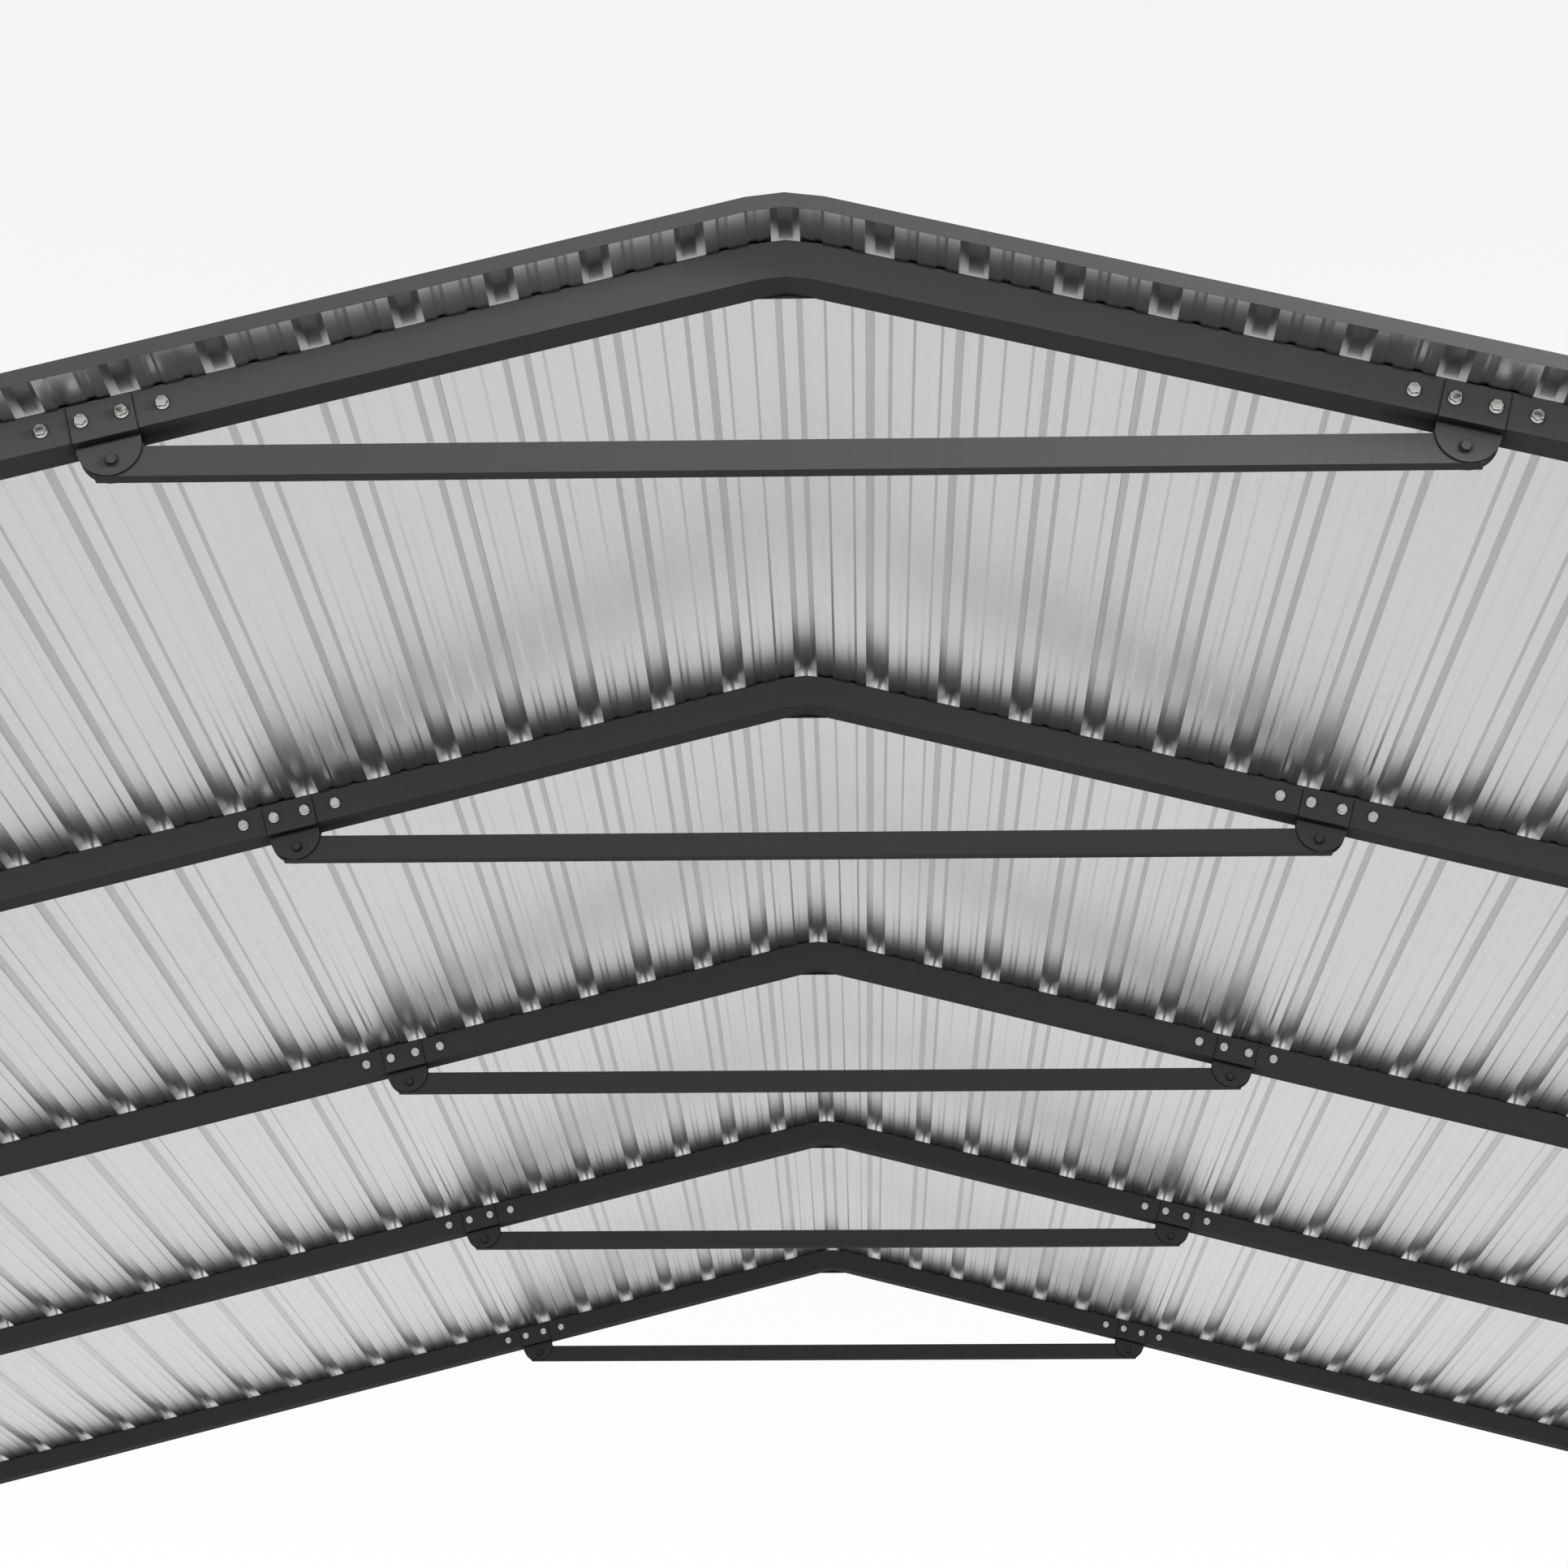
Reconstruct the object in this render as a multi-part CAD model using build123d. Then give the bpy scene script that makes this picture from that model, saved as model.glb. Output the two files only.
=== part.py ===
from build123d import *
import math
import os

os.makedirs("parts", exist_ok=True)

# Carport: a row of bent-tube frames along Y carries a ribbed sheet roof whose ribs run with
# the ridge. X runs across, Z up, and the origin is on the floor at the middle of the plan.

# Row of frames
bay = 1450.0  # frame to frame
bay_count = 4
post_span = 5900.0  # outside of the left posts to outside of the right posts
eave_height = 2130.0  # floor to the corner of the rafter tops and the outside of the posts
roof_pitch = 14.33  # degrees
fold_run = 46.0  # ridge to where the two flats that take its corner off begin, along the slope

# Frame tube
tube = 50.0
tube_wall = 2.0
knee_bend = 220.0  # radius of the outside of the bends at the eaves
splice_run = 861.0  # ridge to the joint of peak and rafter, along the slope
knee_run = 430.0  # joint of rafter and knee to the eave corner, along the slope
knee_drop = 480.0  # eave corner down to the joint of knee and post

# Foot plates, long in Y
foot_length = 160.0
foot_width = 70.0
foot_thickness = 6.0
anchor_spacing = 120.0
anchor_hole = 12.0

# Tie bar and the folded brackets that hold its ends
tie_height = 40.0
tie_depth = 20.0
tie_wall = 1.5
tie_drop = 53.0  # rafter centreline to the pivot bolt, square to the slope
tie_end = 22.0  # pivot bolt to the end of the bar
bracket_width = 80.0
bracket_plate = 2.0
bracket_corner = 3.0  # cut off each way at the two top corners
bracket_top_gap = 1.0  # top of the tube down to the top edge of the bracket
ear_centre = 7.0  # underside of the tube down to the centre of the round ear
ear_fit = 0.25  # between each ear and the bar

# Roof sheet
sheet = 0.5
rib_pitch = 117.9
rib_base = 36.8
rib_crown = 18.4
rib_height = 15.0
swage_base = 15.5  # the two low ribs in each pan
swage_crown = 6.8
swage_height = 2.0
swage_spread = 36.0  # between the two low ribs of a pan
eave_overhang = 60.0  # sheet beyond the eave corner, along the slope
gable_overhang = 87.0  # sheet beyond the end frames
ridge_sheet_pitches = 4  # rib pitches that the ridge sheet covers on each slope
side_sheet_pitches = 8

# Edge trims
trim = 0.7
gable_trim_drop = 2.9  # below the underside of the pans
gable_trim_flange = 45.0
eave_trim_flange = 40.0
eave_trim_leg = 22.0

slope = math.radians(roof_pitch)
flat_slope = slope / 2
half_span = post_span / 2
ridge_height = eave_height + half_span * math.tan(slope)
peak_height = ridge_height - fold_run * math.sin(slope) + fold_run * math.cos(slope) * math.tan(flat_slope)
eave_run = half_span / math.cos(slope)
sheet_run = eave_run + eave_overhang
knee_splice = eave_run - knee_run
knee_foot = eave_height - knee_drop
centreline = -tube / 2
post_x = half_span + centreline
frame_y = [(i - bay_count / 2) * bay for i in range(bay_count + 1)]
roof_end = bay_count * bay / 2 + tube / 2 + gable_overhang
crown_top = rib_height + 2 * sheet  # of two ribs that lap


def slope_point(run, lift):
    """A point of the roof's section: run from the ridge down a slope, lift square to it."""
    x = abs(run) * math.cos(slope) + lift * math.sin(slope)
    z = ridge_height - abs(run) * math.sin(slope) + lift * math.cos(slope)
    return Vector(math.copysign(x, run), 0, z)


def folded_line(end, lift):
    """Section line of a piece folded at the ridge: two slopes joined by two short flats."""
    mitre = (slope + flat_slope) / 2
    reach = lift / math.cos((slope - flat_slope) / 2)
    fold = slope_point(fold_run, 0) + Vector(math.sin(mitre), 0, math.cos(mitre)) * reach
    right = [fold, slope_point(end, lift)]
    left = [Vector(-p.X, 0, p.Z) for p in reversed(right)]
    return left + [Vector(0, 0, peak_height + lift / math.cos(flat_slope))] + right


def band(lower, upper):
    """Face between two section lines that both run from left to right."""
    return make_face(Polyline(*lower, *reversed(upper), close=True))


def folded_band(end, low, high):
    return band(folded_line(end, low), folded_line(end, high))


def along_ridge(face, start, end):
    return Pos(0, start, 0) * extrude(face, end - start, dir=(0, 1, 0))


def tube_along(path, height, depth, wall):
    """Rectangular tube along a path in the XZ plane."""
    section = Rectangle(height, depth) - Rectangle(height - 2 * wall, depth - 2 * wall)
    across = Vector(0, 1, 0).cross(path % 0)
    return sweep(Plane(origin=path @ 0, x_dir=across, z_dir=path % 0) * section, path=path)


def frame_tube(path):
    return tube_along(path, tube, tube, tube_wall)


def peak():
    """Tube folded at the ridge; its back wall runs straight across below the two flats."""
    side = tube / 2
    inner = side - tube_wall
    outside = along_ridge(folded_band(splice_run, -tube, 0), -side, side)
    inside = along_ridge(folded_band(splice_run, tube_wall - tube, -tube_wall), -inner, inner)
    flats = folded_line(splice_run, -tube)[1:-1]
    web = along_ridge(make_face(Polyline(*flats, close=True)), inner, side)
    return outside - inside + web


def rafter():
    return frame_tube(Line(slope_point(splice_run, centreline), slope_point(knee_splice, centreline)))


def knee():
    corner_z = ridge_height + centreline / math.cos(slope) - post_x * math.tan(slope)
    top = slope_point(knee_splice, centreline)
    corner = Vector(post_x, 0, corner_z)
    bottom = Vector(post_x, 0, knee_foot)
    return frame_tube(FilletPolyline(top, corner, bottom, radius=knee_bend + centreline))


def post():
    upright = frame_tube(Line(Vector(post_x, 0, knee_foot), Vector(post_x, 0, foot_thickness)))
    holes = GridLocations(0, anchor_spacing, 1, 2) * Circle(anchor_hole / 2)
    plate = extrude(Rectangle(foot_width, foot_length) - holes, foot_thickness)
    return upright + Pos(post_x, 0, 0) * plate


def tie():
    pivot = slope_point(splice_run, centreline - tie_drop)
    reach = Vector(pivot.X + tie_end, 0, pivot.Z)
    path = Line(Vector(-reach.X, 0, reach.Z), reach)
    return tube_along(path, tie_height, tie_depth, tie_wall)


def bracket_halves():
    """Folded plates at the right splice: down the tube's face, in under it, down to an ear."""
    face_y = -tube / 2
    ear_y = -tie_depth / 2 - ear_fit
    ear_radius = bracket_width / 2
    ear_z = -tube - ear_centre
    ear_bottom = ear_z - ear_radius
    skins = [
        (face_y, -bracket_top_gap), (face_y, -tube), (ear_y, -tube), (ear_y, ear_bottom),
        (ear_y - bracket_plate, ear_bottom), (ear_y - bracket_plate, -tube - bracket_plate),
        (face_y - bracket_plate, -tube - bracket_plate), (face_y - bracket_plate, -bracket_top_gap),
    ]
    section = Plane.YZ * make_face(Polyline(*skins, close=True))
    folded = extrude(section, bracket_width / 2, both=True)
    blank = Rectangle(bracket_width, -bracket_top_gap - ear_z, align=(Align.CENTER, Align.MIN))
    blank = chamfer(blank.vertices().group_by(Axis.Y)[-1], bracket_corner) + Circle(ear_radius)
    outline = Plane(origin=(0, 0, ear_z), x_dir=(1, 0, 0), z_dir=(0, -1, 0)) * blank
    front = folded & extrude(outline, tube, dir=(0, -1, 0))
    place = Pos(slope_point(splice_run, 0)) * Rot(0, roof_pitch, 0)
    return [place * front, place * mirror(front, about=Plane.XZ)]


def rib_outline(centre, base, crown, height, lift, rise=0.0):
    """(run, lift) corners of one rib; every fold keeps the sheet's thickness round it."""
    flank = math.atan2(height, (base - crown) / 2)
    foot = base / 2 + lift * math.tan(flank / 2) + rise / math.sin(flank)
    top = crown / 2 + (lift + rise) * math.tan(flank / 2)
    crown_lift = lift + height + rise
    return [
        (centre - foot, lift), (centre - top, crown_lift),
        (centre + top, crown_lift), (centre + foot, lift),
    ]


def rib_run(pitches):
    """Run so many rib pitches from the ridge, measured over the flats that shorten the way."""
    if pitches == 0:
        return 0.0
    saved = fold_run - fold_run * math.cos(slope) / math.cos(flat_slope)
    return pitches * rib_pitch + math.copysign(saved, pitches)


def sheet_line(start, end, lift, laps):
    """One skin of the sheet between two runs; the ribs in laps lie over the next sheet's ribs."""
    points = []
    for i in range(math.floor(start / rib_pitch), math.ceil(end / rib_pitch) + 1):
        rise = sheet if i in laps else 0.0
        points += rib_outline(rib_run(i), rib_base, rib_crown, rib_height, lift, rise)
        for offset in (-swage_spread / 2, swage_spread / 2):
            centre = rib_run(i + 0.5) + offset
            points += rib_outline(centre, swage_base, swage_crown, swage_height, lift)
    return points


def trim_to(points, start, end):
    """The points between two runs, with the ends where the line crosses them."""
    kept = []
    for (run, lift), (next_run, next_lift) in zip(points, points[1:]):
        for cut in (start, end):
            if run < cut < next_run:
                share = (cut - run) / (next_run - run)
                kept.append((cut, lift + share * (next_lift - lift)))
        if start <= next_run <= end:
            kept.append((next_run, next_lift))
    return kept


def sheet_point(run, lift):
    """The slopes run on to the ridge rib, whose crown is kept down under the folded trims."""
    if abs(run) > rib_base / 2 or lift < rib_height:
        return slope_point(run, lift)
    x = run * math.cos(slope)
    return Vector(x, 0, peak_height + lift / math.cos(flat_slope) - abs(x) * math.tan(flat_slope))


def roof_sheet(start, end, laps):
    skins = [trim_to(sheet_line(start, end, lift, laps), start, end) for lift in (0.0, sheet)]
    return along_ridge(band(*[[sheet_point(*p) for p in skin] for skin in skins]), -roof_end, roof_end)


def gable_trim():
    """Angle at the front edge: a leg before the sheet's end and a flange over the rib crowns."""
    leg = folded_band(sheet_run, -gable_trim_drop, crown_top + trim)
    flange = folded_band(sheet_run, crown_top, crown_top + trim)
    front = along_ridge(leg, -roof_end - trim, -roof_end)
    return front + along_ridge(flange, -roof_end, gable_trim_flange - roof_end)


def eave_trim():
    """Angle under the right eave: a flange against the sheet and a leg turned down."""
    back = sheet_run - eave_trim_flange
    inner = sheet_run - trim
    corners = [
        (back, 0), (sheet_run, 0), (sheet_run, -eave_trim_leg),
        (inner, -eave_trim_leg), (inner, -trim), (back, -trim),
    ]
    section = make_face(Polyline(*[slope_point(*c) for c in corners], close=True))
    return along_ridge(section, -roof_end, roof_end)


def with_left(shapes):
    """Right-hand shapes and their mirror images on the left."""
    return shapes + [mirror(s, about=Plane.YZ) for s in shapes]


def write(name, shapes, y=0.0):
    solids = [Pos(0, y, 0) * solid for shape in shapes for solid in shape.solids()]
    export_step(solids[0] if len(solids) == 1 else Compound(children=solids), f"parts/{name}.step")


frame_pieces = {
    "peak": [peak()],
    "rafters": with_left([rafter()]),
    "knees": with_left([knee()]),
    "posts": with_left([post()]),
    "brackets": with_left(bracket_halves()),
    "tie": [tie()],
}
for number, y in enumerate(frame_y, start=1):
    for piece, shapes in frame_pieces.items():
        write(f"frame_{number}_{piece}", shapes, y)

lap = rib_base / 2
ridge_end = rib_run(ridge_sheet_pitches) + lap
ridge_laps = (-ridge_sheet_pitches, ridge_sheet_pitches)
write("roof_ridge_sheet", [roof_sheet(-ridge_end, ridge_end, ridge_laps)])
for i in range(math.ceil((sheet_run / rib_pitch - ridge_sheet_pitches) / side_sheet_pitches)):
    first_rib = ridge_sheet_pitches + i * side_sheet_pitches
    last_rib = first_rib + side_sheet_pitches
    panel_end = min(rib_run(last_rib) + lap, sheet_run)
    panel = roof_sheet(rib_run(first_rib) - lap, panel_end, (last_rib,))
    write(f"roof_sheet_right_{i + 1}", [panel])
    write(f"roof_sheet_left_{i + 1}", [mirror(panel, about=Plane.YZ)])

front_trim = gable_trim()
write("gable_trim_front", [front_trim])
write("gable_trim_back", [mirror(front_trim, about=Plane.XZ)])
right_trim = eave_trim()
write("eave_trim_right", [right_trim])
write("eave_trim_left", [mirror(right_trim, about=Plane.YZ)])
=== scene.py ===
import math

import bpy
from mathutils import Matrix, Vector


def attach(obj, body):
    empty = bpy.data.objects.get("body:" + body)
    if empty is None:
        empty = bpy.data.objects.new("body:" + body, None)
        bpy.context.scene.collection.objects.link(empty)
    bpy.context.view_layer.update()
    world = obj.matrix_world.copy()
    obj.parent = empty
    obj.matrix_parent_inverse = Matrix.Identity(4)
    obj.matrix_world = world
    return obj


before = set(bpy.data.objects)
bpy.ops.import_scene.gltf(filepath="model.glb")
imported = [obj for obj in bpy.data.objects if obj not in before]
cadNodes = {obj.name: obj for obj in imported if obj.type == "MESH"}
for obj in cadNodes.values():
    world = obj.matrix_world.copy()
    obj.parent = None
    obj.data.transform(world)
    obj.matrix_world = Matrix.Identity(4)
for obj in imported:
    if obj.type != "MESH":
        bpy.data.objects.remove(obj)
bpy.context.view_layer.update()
print("carport: frame loaded with", len(cadNodes), "nodes")


def hexToLinear(code):  # "#rrggbb" in sRGB to the linear colour that shaders use
    channels = [int(code[i:i + 2], 16) / 255 for i in (1, 3, 5)]
    return [c / 12.92 if c <= 0.04045 else ((c + 0.055) / 1.055) ** 2.4 for c in channels] + [1.0]


def addNode(tree, kind, settings=None, links=None):  # a node with its settings and what feeds it
    node = tree.nodes.new(kind)
    for name, value in (settings or {}).items():
        if isinstance(name, int) or name in node.inputs:
            node.inputs[name].default_value = value
        else:
            setattr(node, name, value)
    for name, source in (links or {}).items():
        tree.links.new(source, node.inputs[name])
    return node


def newMaterial(name):
    material = bpy.data.materials.new(name)
    material.use_nodes = True
    tree = material.node_tree
    tree.nodes.clear()
    return material, tree


# Charcoal polyester powder coat on steel: satin, finely pimpled, with painted shade darkening its corners,
# most on faces that look down
powderCoat = {
    "frameColour": "#424242",
    "trimColour": "#444444",
    "roughness": 0.62,
    "roughnessSpread": 0.06,
    "specular": 0.03,
    "peelSize": 0.0015,  # one dimple of the orange peel, drawn about twice as coarse as it is
    "peelDepth": 0.0002,
    "peelShade": 0.07,
    "drawMarkWidth": 0.004,  # the faint upright marks in the sheen
    "drawMarkLength": 0.12,
    "drawMarkShade": 0.05,
    "paintedShadeReach": 0.004,  # how far out of a corner the painted shade reaches
    "paintedShadeReachBelow": 0.035,  # the same on faces that look down
    # how strongly the painted shade darkens the corners
    "paintedShadePower": 3.0,
}


def powderCoatMaterial(name, colourCode, settings):
    material, tree = newMaterial(name)
    place = addNode(tree, "ShaderNodeTexCoord")
    stretch = addNode(tree, "ShaderNodeMapping", {"Scale": (
        1 / settings["drawMarkWidth"], 1 / settings["drawMarkWidth"], 1 / settings["drawMarkLength"],
    )}, {"Vector": place.outputs["Object"]})
    marks = addNode(tree, "ShaderNodeTexNoise", {"Scale": 1.0, "Detail": 2.0}, {
        "Vector": stretch.outputs["Vector"],
    })
    markShade = addNode(tree, "ShaderNodeMapRange", {
        "To Min": 1 - settings["drawMarkShade"], "To Max": 1 + settings["drawMarkShade"],
    }, {"Value": marks.outputs["Fac"]})
    peel = addNode(tree, "ShaderNodeTexNoise", {"Scale": 1 / settings["peelSize"], "Detail": 1.0}, {
        "Vector": place.outputs["Object"],
    })
    peelShade = addNode(tree, "ShaderNodeMapRange", {
        "To Min": 1 - settings["peelShade"], "To Max": 1 + settings["peelShade"],
    }, {"Value": peel.outputs["Fac"]})
    shade = addNode(tree, "ShaderNodeMath", {"operation": "MULTIPLY"}, {
        0: markShade.outputs["Result"], 1: peelShade.outputs["Result"],
    })
    # painted shade: occlusion darkens the base colour near corners, reaching further on faces that look down
    surface = addNode(tree, "ShaderNodeNewGeometry")
    facing = addNode(tree, "ShaderNodeSeparateXYZ", {}, {"Vector": surface.outputs["True Normal"]})
    reach = addNode(tree, "ShaderNodeMapRange", {
        "From Min": -0.3, "From Max": -0.9,
        "To Min": settings["paintedShadeReach"], "To Max": settings["paintedShadeReachBelow"],
    }, {"Value": facing.outputs["Z"]})
    corner = addNode(tree, "ShaderNodeAmbientOcclusion", {"samples": 4}, {
        "Distance": reach.outputs["Result"],
    })
    paintedCornerShade = addNode(tree, "ShaderNodeMath", {"operation": "POWER", 1: settings["paintedShadePower"]}, {
        0: corner.outputs["AO"],
    })
    full = addNode(tree, "ShaderNodeMath", {"operation": "MULTIPLY"}, {
        0: shade.outputs["Value"], 1: paintedCornerShade.outputs["Value"],
    })
    tint = addNode(tree, "ShaderNodeMix", {
        "data_type": "RGBA", "blend_type": "MULTIPLY", 0: 1.0, 6: hexToLinear(colourCode),
    }, {7: full.outputs["Value"]})
    bump = addNode(tree, "ShaderNodeBump", {"Strength": 0.15, "Distance": settings["peelDepth"]}, {
        "Height": peel.outputs["Fac"],
    })
    rough = addNode(tree, "ShaderNodeMapRange", {
        "To Min": settings["roughness"] - settings["roughnessSpread"],
        "To Max": settings["roughness"] + settings["roughnessSpread"],
    }, {"Value": marks.outputs["Fac"]})
    shader = addNode(tree, "ShaderNodeBsdfPrincipled", {
        "IOR": 1.5, "Specular IOR Level": settings["specular"],
    }, {
        "Base Color": tint.outputs[2], "Roughness": rough.outputs["Result"], "Normal": bump.outputs["Normal"],
    })
    addNode(tree, "ShaderNodeOutputMaterial", {}, {"Surface": shader.outputs["BSDF"]})
    return material


# Hot-dip galvanised strip, roll-formed: glossy, with roll streaks, fine spangle and handling scratches
galvanised = {
    "colour": "#e3e3e3",
    "roughness": 0.31,
    "roughnessSpread": 0.02,
    "streakWidth": 0.012,
    "streakLength": 1.5,
    "streakShade": 0.04,
    "spangle": 0.004,
    "spangleShade": 0.03,
    "spangleDepth": 0.00005,
    "scratchWidth": 0.0009,  # drawn about three times as wide as they are
    "scratchLength": 0.09,
    "scratchTurns": (38, -52, 81),
    "scratchRarity": 0.7,
    "scratchShade": 0.12,
    "bowWidth": 0.35,  # the slow waviness of thin sheet
    "bowDepth": 0.0015,
}


def galvanisedMaterial(name, settings):
    material, tree = newMaterial(name)
    place = addNode(tree, "ShaderNodeTexCoord")
    along = addNode(tree, "ShaderNodeMapping", {"Scale": (
        1 / settings["streakWidth"], 1 / settings["streakLength"], 1 / settings["streakWidth"],
    )}, {"Vector": place.outputs["Object"]})
    streaks = addNode(tree, "ShaderNodeTexNoise", {"Scale": 1.0, "Detail": 3.0}, {
        "Vector": along.outputs["Vector"],
    })
    streakShade = addNode(tree, "ShaderNodeMapRange", {
        "To Min": 1 - settings["streakShade"], "To Max": 1 + settings["streakShade"],
    }, {"Value": streaks.outputs["Fac"]})
    spangle = addNode(tree, "ShaderNodeTexNoise", {"Scale": 1 / settings["spangle"], "Detail": 1.0}, {
        "Vector": place.outputs["Object"],
    })
    spangleShade = addNode(tree, "ShaderNodeMapRange", {
        "To Min": 1 - settings["spangleShade"], "To Max": 1 + settings["spangleShade"],
    }, {"Value": spangle.outputs["Fac"]})
    shade = addNode(tree, "ShaderNodeMath", {"operation": "MULTIPLY"}, {
        0: streakShade.outputs["Result"], 1: spangleShade.outputs["Result"],
    })
    scratched = []
    for turn in settings["scratchTurns"]:
        lie = addNode(tree, "ShaderNodeMapping", {
            "vector_type": "TEXTURE", "Rotation": (0, 0, math.radians(turn)),
            "Scale": (settings["scratchLength"], settings["scratchWidth"], 1.0),
        }, {"Vector": place.outputs["Object"]})
        grain = addNode(tree, "ShaderNodeTexNoise", {"Scale": 1.0, "Detail": 0.0}, {
            "Vector": lie.outputs["Vector"],
        })
        lines = addNode(tree, "ShaderNodeMapRange", {
            "From Min": settings["scratchRarity"], "From Max": settings["scratchRarity"] + 0.06,
        }, {"Value": grain.outputs["Fac"]})
        before = {0: scratched[-1].outputs["Value"]} if scratched else {}
        scratched.append(addNode(tree, "ShaderNodeMath", {"operation": "MAXIMUM", 0: 0.0}, {
            **before, 1: lines.outputs["Result"],
        }))
    patches = addNode(tree, "ShaderNodeTexNoise", {"Scale": 1 / settings["bowWidth"], "Detail": 1.0}, {
        "Vector": place.outputs["Object"],
    })
    where = addNode(tree, "ShaderNodeMapRange", {"From Min": 0.45, "From Max": 0.6}, {
        "Value": patches.outputs["Fac"],
    })
    scratchMask = addNode(tree, "ShaderNodeMath", {"operation": "MULTIPLY"}, {
        0: scratched[-1].outputs["Value"], 1: where.outputs["Result"],
    })
    scratchShade = addNode(tree, "ShaderNodeMapRange", {
        "To Min": 1.0, "To Max": 1 - settings["scratchShade"],
    }, {"Value": scratchMask.outputs["Value"]})
    full = addNode(tree, "ShaderNodeMath", {"operation": "MULTIPLY"}, {
        0: shade.outputs["Value"], 1: scratchShade.outputs["Result"],
    })
    tint = addNode(tree, "ShaderNodeMix", {
        "data_type": "RGBA", "blend_type": "MULTIPLY", 0: 1.0, 6: hexToLinear(settings["colour"]),
    }, {7: full.outputs["Value"]})
    fine = addNode(tree, "ShaderNodeBump", {"Strength": 0.3, "Distance": settings["spangleDepth"]}, {
        "Height": spangle.outputs["Fac"],
    })
    slow = addNode(tree, "ShaderNodeBump", {"Strength": 1.0, "Distance": settings["bowDepth"]}, {
        "Height": patches.outputs["Fac"], "Normal": fine.outputs["Normal"],
    })
    rough = addNode(tree, "ShaderNodeMapRange", {
        "To Min": settings["roughness"] - settings["roughnessSpread"],
        "To Max": settings["roughness"] + settings["roughnessSpread"],
    }, {"Value": streaks.outputs["Fac"]})
    shader = addNode(tree, "ShaderNodeBsdfPrincipled", {"Metallic": 1.0}, {
        "Base Color": tint.outputs[2], "Roughness": rough.outputs["Result"], "Normal": slow.outputs["Normal"],
    })
    addNode(tree, "ShaderNodeOutputMaterial", {}, {"Surface": shader.outputs["BSDF"]})
    return material


# Bright zinc plate and black oxide on forged bolts: fine grain, a little uneven in gloss
boltFinish = {
    "zincColour": "#dededb",
    "zincRoughness": 0.24,
    "blackColour": "#2c2d2e",
    "blackRoughness": 0.42,
    "roughnessSpread": 0.06,
    "grain": 0.0012,
    "grainDepth": 0.0001,
}


def boltMaterial(name, colourCode, roughness, metallic, settings):
    material, tree = newMaterial(name)
    place = addNode(tree, "ShaderNodeTexCoord")
    grain = addNode(tree, "ShaderNodeTexNoise", {"Scale": 1 / settings["grain"], "Detail": 2.0}, {
        "Vector": place.outputs["Object"],
    })
    rough = addNode(tree, "ShaderNodeMapRange", {
        "To Min": roughness - settings["roughnessSpread"], "To Max": roughness + settings["roughnessSpread"],
    }, {"Value": grain.outputs["Fac"]})
    bump = addNode(tree, "ShaderNodeBump", {"Strength": 0.1, "Distance": settings["grainDepth"]}, {
        "Height": grain.outputs["Fac"],
    })
    shader = addNode(tree, "ShaderNodeBsdfPrincipled", {
        "Base Color": hexToLinear(colourCode), "Metallic": metallic,
    }, {"Roughness": rough.outputs["Result"], "Normal": bump.outputs["Normal"]})
    addNode(tree, "ShaderNodeOutputMaterial", {}, {"Surface": shader.outputs["BSDF"]})
    return material


framePaint = powderCoatMaterial("charcoal powder coat", powderCoat["frameColour"], powderCoat)
trimPaint = powderCoatMaterial("charcoal powder coat on trim", powderCoat["trimColour"], powderCoat)
galvanisedSteel = galvanisedMaterial("galvanised steel sheet", galvanised)
brightZinc = boltMaterial(
    "bright zinc plate", boltFinish["zincColour"], boltFinish["zincRoughness"], 1.0, boltFinish,
)
blackOxide = boltMaterial(
    "black oxide", boltFinish["blackColour"], boltFinish["blackRoughness"], 0.0, boltFinish,
)
print("carport: finishes ready")


# Sizes that the fasteners are set out from, in metres
carport = {
    "bay": 1.45, "frames": 5, "halfSpan": 2.95, "eaveHeight": 2.13, "pitch": 14.33,
    "tube": 0.05, "foldRun": 0.046, "spliceRun": 0.861, "kneeRun": 0.43, "kneeFoot": 1.65,
    "bracketWidth": 0.08, "ribPitch": 0.1179, "ribHeight": 0.015,
    "sheet": 0.0005, "trim": 0.0007, "roofEnd": 3.012, "lappedRibs": (-20, -12, -4, 4, 12, 20),
}
slope = math.radians(carport["pitch"])
ridgeHeight = carport["eaveHeight"] + carport["halfSpan"] * math.tan(slope)
frameY = [(i - 2) * carport["bay"] for i in range(carport["frames"])]
postX = carport["halfSpan"] - carport["tube"] / 2


for name, node in cadNodes.items():
    finish = galvanisedSteel if name.startswith("roof_") else trimPaint if "trim" in name else framePaint
    node.data.materials.clear()
    node.data.materials.append(finish)
print("carport: frame and roof dressed")


def roofPoint(run, lift, y):  # run down a slope from the ridge, lift square to it
    if run:
        x = abs(run) * math.cos(slope) + lift * math.sin(slope)
        z = ridgeHeight - abs(run) * math.sin(slope) + lift * math.cos(slope)
        return Vector((math.copysign(x, run), y, z))
    fold = carport["foldRun"]
    peakHeight = ridgeHeight - fold * math.sin(slope) + fold * math.cos(slope) * math.tan(slope / 2)
    return Vector((0, y, peakHeight + lift))


def onSlope(run):  # turn that stands a piece square to the slope at that run
    return Matrix.Rotation(math.copysign(slope, run) if run else 0.0, 4, "Y")


def ringSkin(rings):  # closed skin through rings of equal length, capped at both ends
    count = len(rings[0])
    points = [p for ring in rings for p in ring]
    faces = [tuple(range(count - 1, -1, -1))]
    for level in range(len(rings) - 1):
        for i in range(count):
            j = (i + 1) % count
            a, b = level * count, (level + 1) * count
            faces.append((a + i, a + j, b + j, b + i))
    faces.append(tuple((len(rings) - 1) * count + i for i in range(count)))
    return points, faces


def hexRadius(angle, flats):
    return flats / 2 / math.cos((angle + math.pi / 6) % (math.pi / 3) - math.pi / 6)


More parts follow.
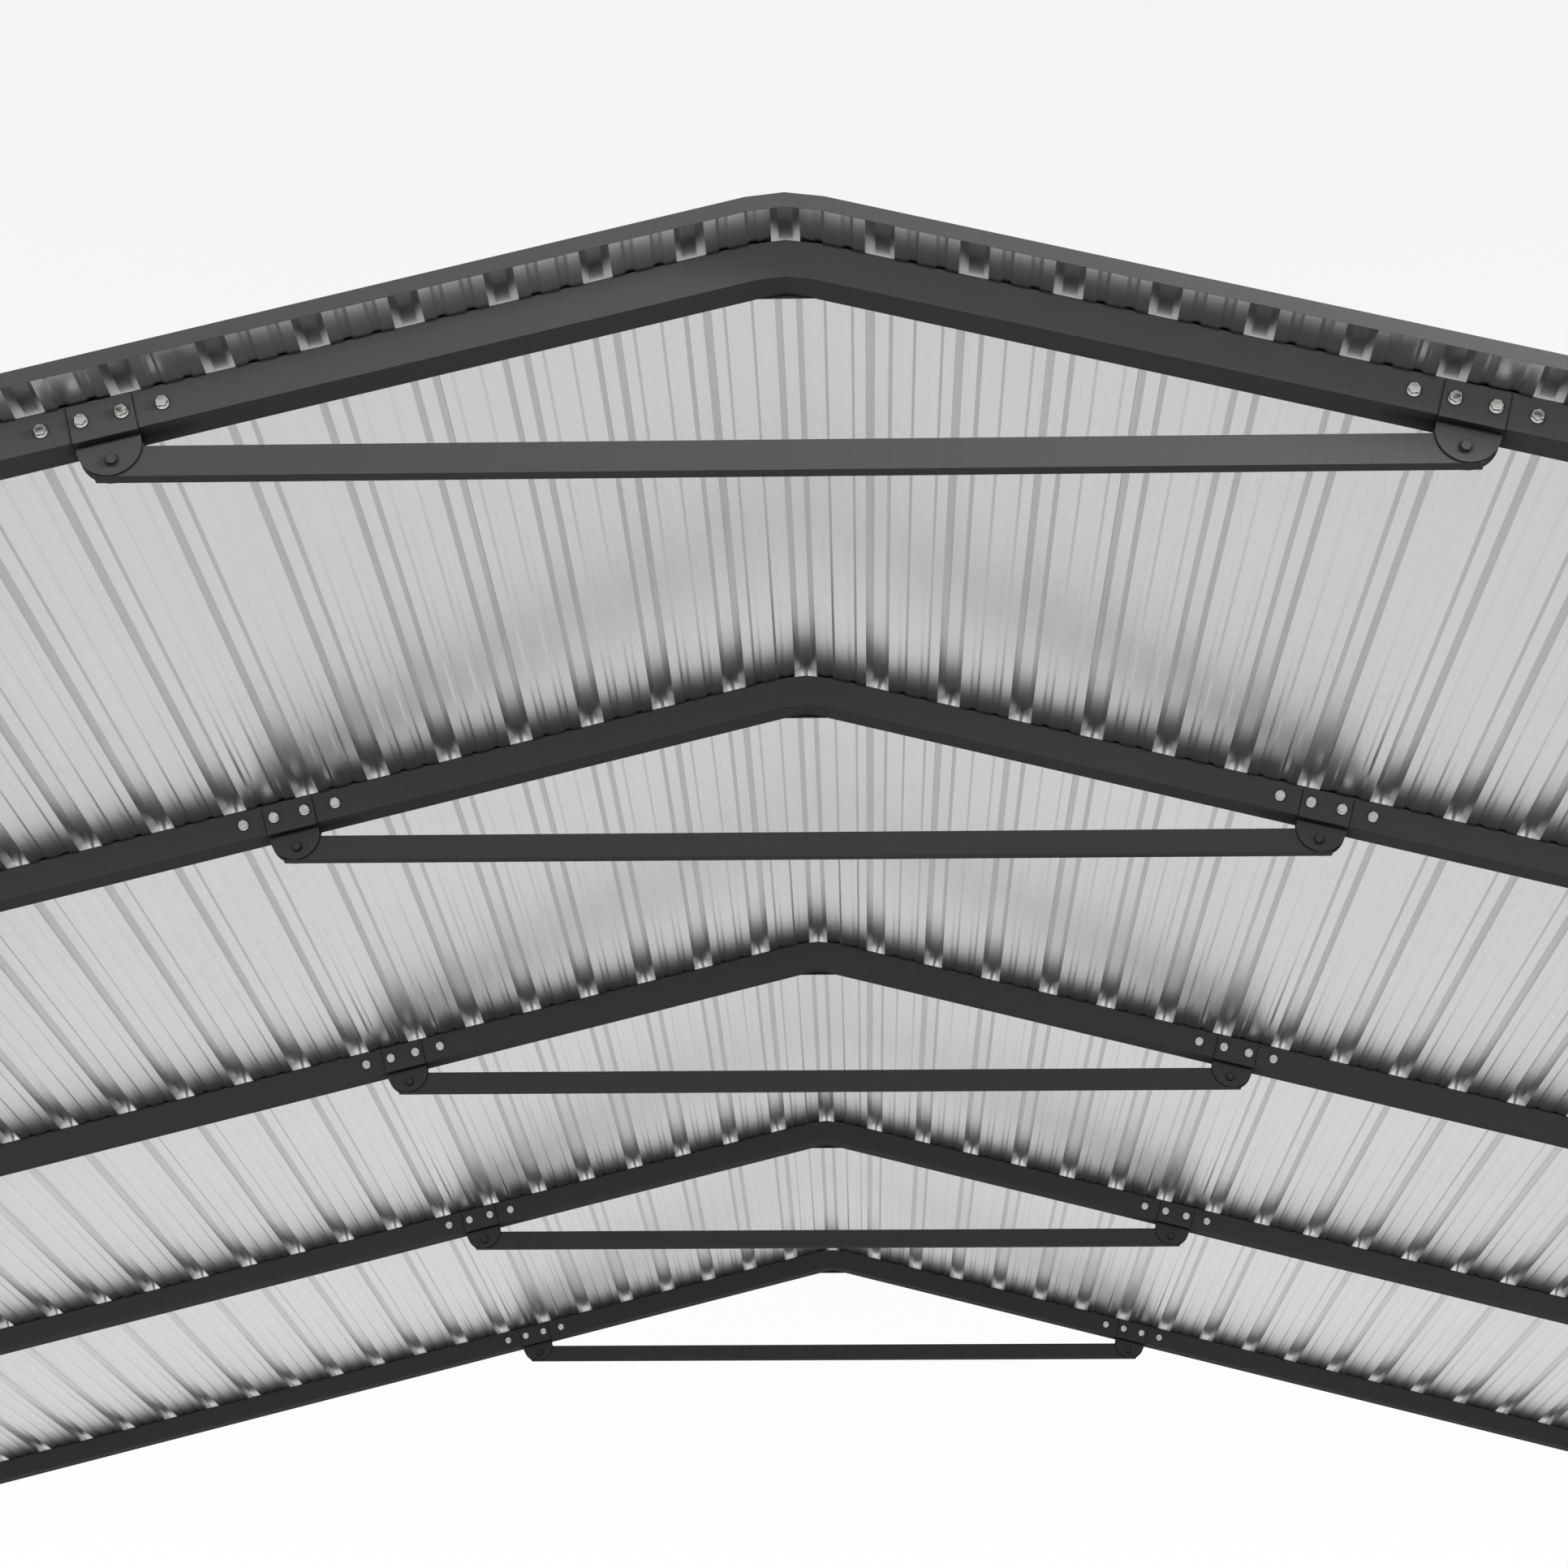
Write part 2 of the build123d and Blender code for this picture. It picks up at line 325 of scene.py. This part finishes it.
def hexHead(flats, height, flange, flangeRise, dish, steps=36):  # hex flange head standing on +Z
    angles = [2 * math.pi * i / steps for i in range(steps)]
    topRadius = flats / 2 * 0.9  # where the chamfer of the corners meets the top

    def ring(radius, level):
        return [(radius * math.cos(a), radius * math.sin(a), level) for a in angles]

    chamfer = math.tan(math.radians(30))
    corners = [(hexRadius(a, flats), a) for a in angles]
    hexBase = [(r * math.cos(a), r * math.sin(a), flangeRise) for r, a in corners]
    hexTop = [(x, y, height - (math.hypot(x, y) - topRadius) * chamfer) for x, y, z in hexBase]
    rings = [
        ring(flange / 2, 0.0), ring(flange / 2, flangeRise * 0.45), ring(flats * 0.6, flangeRise),
        hexBase, hexTop, ring(topRadius, height), ring(topRadius * 0.8, height - dish * 0.3),
        ring(topRadius * 0.4, height - dish),
    ]
    return ringSkin(rings)


def shank(radius, start, end, steps=16):
    angles = [2 * math.pi * i / steps for i in range(steps)]
    tip, taper = radius * 0.8, radius * 0.3  # both ends are chamfered
    profile = (tip, start), (radius, start + taper), (radius, end - taper), (tip, end)
    return ringSkin([[(r * math.cos(a), r * math.sin(a), z) for a in angles] for r, z in profile])


def addPiece(name, parts, material):  # parts: (points, faces, matrix) joined in one mesh
    points, faces = [], []
    for partPoints, partFaces, matrix in parts:
        base = len(points)
        points += [matrix @ Vector(p) for p in partPoints]
        faces += [tuple(base + i for i in face) for face in partFaces]
    mesh = bpy.data.meshes.new(name)
    mesh.from_pydata(points, [], faces)
    mesh.validate()
    mesh.shade_smooth()
    mesh.set_sharp_from_angle(angle=math.radians(32))
    mesh.materials.append(material)
    piece = bpy.data.objects.new(name, mesh)
    bpy.context.scene.collection.objects.link(piece)
    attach(piece, "root")
    return piece


faceFront = Matrix.Rotation(math.radians(90), 4, "X")  # turns +Z of a head to the front
faceBack = Matrix.Rotation(math.radians(-90), 4, "X")

# M8 hex flange bolts through the tubes and the sleeves inside them, nuts behind
spliceBolts = {"offsets": (-0.075, -0.025, 0.025, 0.075), "bracketPlate": 0.002,
               "flats": 0.013, "head": 0.0078, "flange": 0.0175, "flangeRise": 0.0022, "dish": 0.0006,
               "nut": 0.0075, "stud": 0.004, "studProud": 0.003}


def boltSet(settings):  # head, nut and the end of the thread
    flange = settings["flange"], settings["flangeRise"]
    return (
        hexHead(settings["flats"], settings["head"], *flange, settings["dish"]),
        hexHead(settings["flats"], settings["nut"], *flange, 0.0001),
        shank(settings["stud"], settings["nut"] - 0.001, settings["nut"] + settings["studProud"]),
    )


def boltThrough(pieces, place, reach, turn):  # a bolt from front to back, reach from the middle to each face
    head, nut, stud = pieces
    spin = Matrix.Rotation(turn, 4, "Z")
    front = Matrix.Translation(place + Vector((0, -reach, 0))) @ faceFront @ spin
    back = Matrix.Translation(place + Vector((0, reach, 0))) @ faceBack @ spin
    return [(*head, front), (*nut, back), (*stud, back)]


spliceSet = boltSet(spliceBolts)
kneeSplice = carport["halfSpan"] / math.cos(slope) - carport["kneeRun"]
for number, y in enumerate(frameY, start=1):
    peakParts, kneeParts = [], []
    for side in (-1, 1):
        for i, offset in enumerate(spliceBolts["offsets"]):
            reach = carport["tube"] / 2
            turn = 0.35 + 0.4 * i + 0.23 * number
            proud = spliceBolts["bracketPlate"] if abs(offset) < carport["bracketWidth"] / 2 else 0
            atPeak = roofPoint(side * (carport["spliceRun"] + offset), -reach, y)
            atRafterEnd = roofPoint(side * (kneeSplice + offset), -reach, y)
            atPostTop = Vector((side * postX, y, carport["kneeFoot"] + offset))
            peakParts += boltThrough(spliceSet, atPeak, reach + proud, turn)
            kneeParts += boltThrough(spliceSet, atRafterEnd, reach, turn + 0.6)
            kneeParts += boltThrough(spliceSet, atPostTop, reach, turn + 1.1)
    addPiece(f"frame_{number}_splice_bolts", peakParts, brightZinc)
    addPiece(f"frame_{number}_knee_bolts", kneeParts, brightZinc)
print("carport: splice and knee bolts placed")


# Bolts that the tie bars hang on, through both ears, coated with the frame
pivotBolts = {"drop": 0.078, "reach": 0.01225, "flats": 0.012, "head": 0.0062, "flange": 0.0158,
              "flangeRise": 0.0016, "dish": 0.0004, "nut": 0.0065, "stud": 0.004, "studProud": 0.002}
pivotSet = boltSet(pivotBolts)
for number, y in enumerate(frameY, start=1):
    parts = []
    for side in (-1, 1):
        place = roofPoint(side * carport["spliceRun"], -pivotBolts["drop"], y)
        parts += boltThrough(pivotSet, place, pivotBolts["reach"], 0.5 * number)
    addPiece(f"frame_{number}_pivot_bolts", parts, framePaint)
print("carport: pivot bolts placed")


# Roofing screws through the rib crowns, with sealing washers; they show in the ribs above the frames
roofScrews = {"frames": (1, 2, 3), "ribs": 26, "shank": 0.0024, "flats": 0.008, "head": 0.0048,
              "flange": 0.0115, "flangeRise": 0.001, "dish": 0.0003, "washer": 0.0075, "washerThick": 0.0024}
trimScrews = {"ribStep": 2, "behindEdge": 0.018}
screwHead = hexHead(*[roofScrews[k] for k in ("flats", "head", "flange", "flangeRise", "dish")], steps=24)
sealWasher = shank(roofScrews["washer"], 0.0, roofScrews["washerThick"], 24)
screwShank = shank(roofScrews["shank"], -0.0005, carport["ribHeight"] + 0.0003)


def screwTop(run, lift, y, turn):  # washer and head on a crown
    seat = Matrix.Translation(roofPoint(run, lift, y)) @ onSlope(run)
    raised = seat @ Matrix.Translation((0, 0, roofScrews["washerThick"])) @ Matrix.Rotation(turn, 4, "Z")
    return [(*sealWasher, seat), (*screwHead, raised)]


crown = carport["ribHeight"] + carport["sheet"]
saved = carport["foldRun"] * (1 - math.cos(slope) / math.cos(slope / 2))  # by the two flats at the ridge
ribRuns = [
    i * carport["ribPitch"] + (math.copysign(saved, i) if i else 0.0)
    for i in range(-roofScrews["ribs"], roofScrews["ribs"] + 1)
]
for order in roofScrews["frames"]:
    steel, seals = [], []
    for i, run in enumerate(ribRuns):
        lapped = i - roofScrews["ribs"] in carport["lappedRibs"]
        foot = Matrix.Translation(roofPoint(run, 0.0, frameY[order])) @ onSlope(run)
        steel.append((*screwShank, foot))
        if run:
            washer, head = screwTop(run, crown + lapped * carport["sheet"], frameY[order], 0.7 * i)
            seals.append(washer)
            steel.append(head)
    addPiece(f"roof_screws_{order}", steel, brightZinc)
    addPiece(f"roof_washers_{order}", seals, blackOxide)
for end, side in (("front", -1), ("back", 1)):
    parts = []
    y = side * (carport["roofEnd"] - trimScrews["behindEdge"])
    for i, run in enumerate(ribRuns):
        if run and (i - roofScrews["ribs"]) % trimScrews["ribStep"] == 0:
            parts += screwTop(run, crown + carport["sheet"] + carport["trim"], y, 0.5 * i)
    addPiece(f"trim_screws_{end}", parts, blackOxide)
print("carport: roofing screws placed")


# Anchors in the foot plates and the weld round each post
foot = {"plate": 0.006, "anchorSpacing": 0.12, "washer": 0.010, "washerThick": 0.002, "nutFlats": 0.017,
        "nutHeight": 0.008, "stud": 0.005, "studTop": 0.02,
        "bead": 0.0028, "beadLift": 0.0006, "ripple": 0.0035, "rippleDepth": 0.09, "beadRound": 0.004}
anchorWasher = shank(foot["washer"], 0.0, foot["washerThick"], 32)
anchorNut = hexHead(foot["nutFlats"], foot["nutHeight"], foot["nutFlats"] * 0.98, 0.0003, 0.0001)
anchorStud = shank(foot["stud"], 0.0, foot["studTop"], 20)


def weldBead(place):  # a rippled bead in the corner of post and plate
    half, corner = carport["tube"] / 2, foot["beadRound"]
    straight = 2 * (half - corner)
    arc = math.pi / 2 * corner
    length = 4 * (straight + arc)
    steps = int(length / 0.001)
    points, faces = [], []
    around = 8
    for i in range(steps):
        along = i * length / steps
        sideNumber, rest = divmod(along, straight + arc)
        turn = Matrix.Rotation(math.radians(90) * sideNumber, 3, "Z")
        if rest < straight:
            spot, out = Vector((half, -straight / 2 + rest, 0)), Vector((1, 0, 0))
        else:
            angle = (rest - straight) / corner
            out = Vector((math.cos(angle), math.sin(angle), 0))
            spot = Vector((half - corner, half - corner, 0)) + out * corner
        swell = foot["bead"] * (1 + foot["rippleDepth"] * math.sin(2 * math.pi * along / foot["ripple"]))
        for k in range(around):
            angle = 2 * math.pi * k / around
            outward = math.cos(angle) * swell + foot["beadLift"]
            upward = math.sin(angle) * swell + foot["beadLift"]
            points.append(turn @ (spot + out * outward + Vector((0, 0, upward))))
    for i in range(steps):
        j = (i + 1) % steps
        for k in range(around):
            m = (k + 1) % around
            faces.append((i * around + k, j * around + k, j * around + m, i * around + m))
    return points, faces, Matrix.Translation(place)


anchors, welds = [], []
for y in frameY:
    for side in (-1, 1):
        base = Vector((side * postX, y, foot["plate"]))
        welds.append(weldBead(base))
        for shift in (-0.5, 0.5):
            seat = Matrix.Translation(base + Vector((0, shift * foot["anchorSpacing"], 0)))
            nut = seat @ Matrix.Translation((0, 0, foot["washerThick"])) @ Matrix.Rotation(y + shift, 4, "Z")
            anchors += [(*anchorWasher, seat), (*anchorNut, nut), (*anchorStud, seat)]
addPiece("foot_anchors", anchors, brightZinc)
addPiece("foot_welds", welds, framePaint)
print("carport: anchors and welds placed")


# Camera at the photograph's viewpoint: low before the front frame, looking up into the roof
view = {"place": (0.0857, -6.7204, 0.7970), "turn": (109.8516, 0, 1.3227), "lens": 80, "sensor": 36}
camera = bpy.data.objects.new("camera", bpy.data.cameras.new("camera"))
camera.location = view["place"]
camera.rotation_euler = [math.radians(a) for a in view["turn"]]
camera.data.lens = view["lens"]
camera.data.sensor_width = view["sensor"]
bpy.context.scene.collection.objects.link(camera)
bpy.context.scene.camera = camera


# Plain pale studio: a white surround for the eye and for gloss, softer for matt faces
studio = {
    "surround": 0.75, "horizon": 1.0, "overhead": 0.9, "behindCamera": 0.5,
    "floorSize": 120.0, "floorColour": "#b8b8b8", "floorColourSeen": "#f2f2f2", "floorGlowSeen": 0.3,
    "floorFadeFrom": 6.0, "floorFadeTo": 45.0, "floorGlowNear": 0.69, "floorGlowFar": 0.86,
    "lamps": {
        "key": {"place": (2.2, -4.3, 3.4), "aim": (0.6, -2.9, 2.6), "wide": 0.8, "high": 0.8, "power": 100},
        "fill": {"place": (-1.5, -11.5, 1.6), "aim": (-0.3, 0.0, 2.4), "wide": 6, "high": 3, "power": 500},
    },
}
world = bpy.data.worlds.new("studio")
bpy.context.scene.world = world
world.use_nodes = True
tree = world.node_tree
tree.nodes.clear()
rays = addNode(tree, "ShaderNodeLightPath")
sharp = addNode(tree, "ShaderNodeMath", {"operation": "MAXIMUM"}, {
    0: rays.outputs["Is Glossy Ray"], 1: rays.outputs["Is Transmission Ray"],
})
direction = addNode(tree, "ShaderNodeTexCoord")
axes = addNode(tree, "ShaderNodeSeparateXYZ", {}, {"Vector": direction.outputs["Generated"]})
seen = addNode(tree, "ShaderNodeMapRange", {
    "From Min": 0.1, "From Max": 0.55, "To Min": studio["horizon"], "To Max": studio["overhead"],
}, {"Value": axes.outputs["Z"]})
mirrored = addNode(tree, "ShaderNodeMapRange", {
    "From Min": -1.0, "From Max": -0.2, "To Min": studio["behindCamera"], "To Max": studio["horizon"],
}, {"Value": axes.outputs["Y"]})
gloss = addNode(tree, "ShaderNodeMix", {"data_type": "FLOAT", 2: studio["surround"]}, {
    0: sharp.outputs["Value"], 3: mirrored.outputs["Result"],
})
strength = addNode(tree, "ShaderNodeMix", {"data_type": "FLOAT"}, {
    0: rays.outputs["Is Camera Ray"], 2: gloss.outputs[0], 3: seen.outputs["Result"],
})
sky = addNode(tree, "ShaderNodeBackground", {"Color": (1, 1, 1, 1)}, {"Strength": strength.outputs[0]})
addNode(tree, "ShaderNodeOutputWorld", {}, {"Surface": sky.outputs["Background"]})

half = studio["floorSize"] / 2
floorMesh = bpy.data.meshes.new("studio_floor")
floorCorners = [(-half, -half, 0), (half, -half, 0), (half, half, 0), (-half, half, 0)]
floorMesh.from_pydata(floorCorners, [], [(0, 1, 2, 3)])
floor = bpy.data.objects.new("studio_floor", floorMesh)
bpy.context.scene.collection.objects.link(floor)
floorFinish, tree = newMaterial("pale studio floor")
rays = addNode(tree, "ShaderNodeLightPath")
surface = addNode(tree, "ShaderNodeNewGeometry")
paler = addNode(tree, "ShaderNodeMix", {
    "data_type": "RGBA", 6: hexToLinear(studio["floorColour"]), 7: hexToLinear(studio["floorColourSeen"]),
}, {0: rays.outputs["Is Camera Ray"]})
matt = addNode(tree, "ShaderNodeBsdfDiffuse", {}, {"Color": paler.outputs[2]})
glow = addNode(tree, "ShaderNodeEmission", {"Color": (1, 1, 1, 1), "Strength": 1.0})
middle = addNode(tree, "ShaderNodeVectorMath", {"operation": "LENGTH"}, {0: surface.outputs["Position"]})
fade = addNode(tree, "ShaderNodeMapRange", {
    "From Min": studio["floorFadeFrom"], "From Max": studio["floorFadeTo"], "To Min": studio["floorGlowSeen"],
}, {"Value": middle.outputs["Value"]})
axes = addNode(tree, "ShaderNodeSeparateXYZ", {}, {"Vector": surface.outputs["Position"]})
distance = addNode(tree, "ShaderNodeMapRange", {
    "From Min": 3.0, "From Max": 14.0, "To Min": studio["floorGlowNear"], "To Max": studio["floorGlowFar"],
}, {"Value": axes.outputs["Y"]})
mirrored = addNode(tree, "ShaderNodeMath", {"operation": "MULTIPLY"}, {
    0: rays.outputs["Is Glossy Ray"], 1: distance.outputs["Result"],
})
share = addNode(tree, "ShaderNodeMath", {"operation": "MULTIPLY_ADD"}, {
    0: rays.outputs["Is Camera Ray"], 1: fade.outputs["Result"], 2: mirrored.outputs["Value"],
})
both = addNode(tree, "ShaderNodeMixShader", {}, {
    "Fac": share.outputs["Value"], 1: matt.outputs["BSDF"], 2: glow.outputs["Emission"],
})
addNode(tree, "ShaderNodeOutputMaterial", {}, {"Surface": both.outputs["Shader"]})
floorMesh.materials.append(floorFinish)

for name, box in studio["lamps"].items():
    lamp = bpy.data.lights.new(name, "AREA")
    lamp.shape = "RECTANGLE"
    lamp.size, lamp.size_y, lamp.energy = box["wide"], box["high"], box["power"]
    softbox = bpy.data.objects.new(name, lamp)
    softbox.location = box["place"]
    softbox.rotation_euler = (Vector(box["aim"]) - Vector(box["place"])).to_track_quat("-Z", "Y").to_euler()
    softbox.visible_camera = False
    softbox.visible_glossy = False
    bpy.context.scene.collection.objects.link(softbox)
bpy.context.scene.view_settings.view_transform = "Standard"
print("carport: camera and studio ready")
